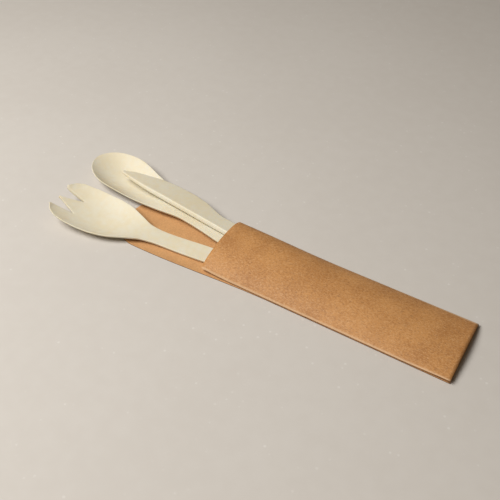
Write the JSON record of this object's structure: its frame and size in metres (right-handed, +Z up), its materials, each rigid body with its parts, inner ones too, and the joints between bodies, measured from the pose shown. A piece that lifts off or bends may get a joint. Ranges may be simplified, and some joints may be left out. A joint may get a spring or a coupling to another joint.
{
  "type": "cutlery set in card sleeve",
  "caption": "Disposable fork, spoon and knife of cream bioplastic, their handles held together in an open folded card sleeve with a rounded tongue.",
  "frame": {"origin": "on the underside of the sleeve's back panel, under the middle of its front panel", "axes": "+X along the sleeve, away from the heads; +Y towards the spoon and knife; +Z up from the table"},
  "size_m": [0.2833, 0.0812, 0.0127],
  "materials": {
    "kraft_card": "uncoated brown kraft card",
    "fork_bioplastic": "satin cream moulded bioplastic",
    "spoon_bioplastic": "satin cream moulded bioplastic",
    "knife_bioplastic": "satin cream moulded bioplastic"
  },
  "bodies": {
    "root": {"sleeve": "kraft_card", "fork": "fork_bioplastic", "spoon": "spoon_bioplastic", "knife": "knife_bioplastic"}
  },
  "joints": []
}
